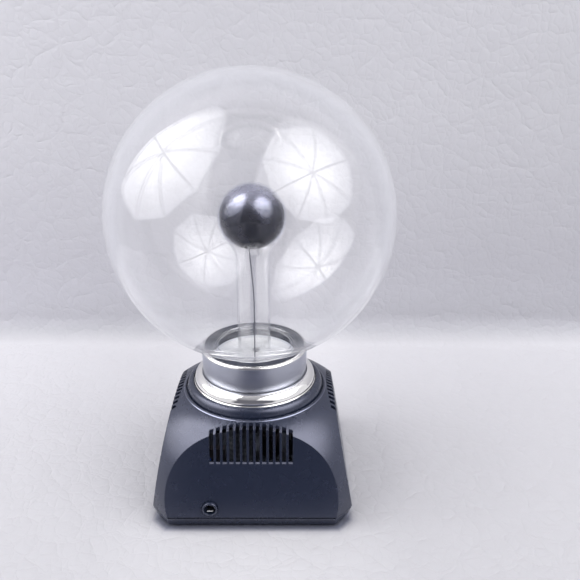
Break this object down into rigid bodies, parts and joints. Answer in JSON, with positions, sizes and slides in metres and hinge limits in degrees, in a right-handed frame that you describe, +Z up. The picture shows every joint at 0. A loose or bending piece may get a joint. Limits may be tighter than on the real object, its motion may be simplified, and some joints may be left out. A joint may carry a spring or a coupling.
{
  "type": "plasma ball",
  "caption": "Clear glass plasma globe with a central dark electrode, on a black square base with vent slots, bright metal neck, power socket and slide switch.",
  "frame": {"origin": "on the table, under the middle of the base, on the axis of the globe", "axes": "+Z up along the globe's axis; -Y out of the side face with the power socket; +Y out of the side face with the mode switch; X along both of those faces"},
  "size_m": [0.1998, 0.1998, 0.3104],
  "materials": {
    "clear_glass": "clear, fire-polished",
    "black_shell": "satin moulded black with a slight blue cast",
    "black_collar": "semi-gloss moulded black",
    "chrome_plate": "bright plated",
    "dark_coating": "dark metallic film behind glass",
    "steel_wool": "crumpled fine steel wool",
    "steel": "zinc-plated",
    "copper_wire": "enamelled copper",
    "black_rubber": "matt",
    "pale_silicone": "pale silicone",
    "white_plastic": "off-white moulded",
    "board_laminate": "phenolic board",
    "ferrite": "dull sintered ferrite",
    "potting": "black epoxy",
    "aluminium": "plain",
    "blue_sleeve": "shrink sleeve",
    "film_dip": "dipped epoxy",
    "red_sleeving": "insulated lead"
  },
  "bodies": {
    "base": {"glass_globe": "clear_glass", "glass_stem": "clear_glass", "exhaust_tip": "clear_glass", "electrode_ball": "dark_coating", "contact_wool": "steel_wool", "lead_wire": "steel", "neck_collar": "black_collar", "neck_sleeve": "chrome_plate", "neck_seal": "pale_silicone", "insulator_cup": "white_plastic", "trim_ring": "chrome_plate", "wire_boot": "black_rubber", "collar_screw_1": "steel", "collar_screw_2": "steel", "collar_screw_3": "steel", "housing_shell": "black_shell", "base_tray": "black_shell", "foot_1": "black_rubber", "foot_2": "black_rubber", "foot_3": "black_rubber", "foot_4": "black_rubber", "case_screw_1": "steel", "case_screw_2": "steel", "case_screw_3": "steel", "case_screw_4": "steel", "socket_body": "potting", "socket_pin": "steel", "socket_spring": "steel", "switch_body": "aluminium", "switch_screw_1": "steel", "switch_screw_2": "steel", "circuit_board": "board_laminate", "ferrite_core": "ferrite", "high_voltage_winding": "potting", "primary_winding": "copper_wire", "heat_sink": "aluminium", "power_transistor": "potting", "transistor_screw": "steel", "filter_capacitor": "blue_sleeve", "output_capacitor": "blue_sleeve", "film_capacitor": "film_dip", "driver_chip": "potting", "microphone": "aluminium", "resistor_1": "white_plastic", "resistor_2": "white_plastic", "resistor_3": "white_plastic", "board_screw_1": "steel", "board_screw_2": "steel", "board_screw_3": "steel", "board_screw_4": "steel", "high_voltage_lead": "red_sleeving", "switch_lead_1": "red_sleeving", "switch_lead_2": "potting", "switch_lead_3": "potting"},
    "mode_slider": {"switch_slider": "black_collar"}
  },
  "joints": [
    {"name": "mode_switch", "type": "slide", "parent": "base", "child": "mode_slider", "axis": [1, 0, 0], "range_m": [-0.004, 0.004]}
  ]
}
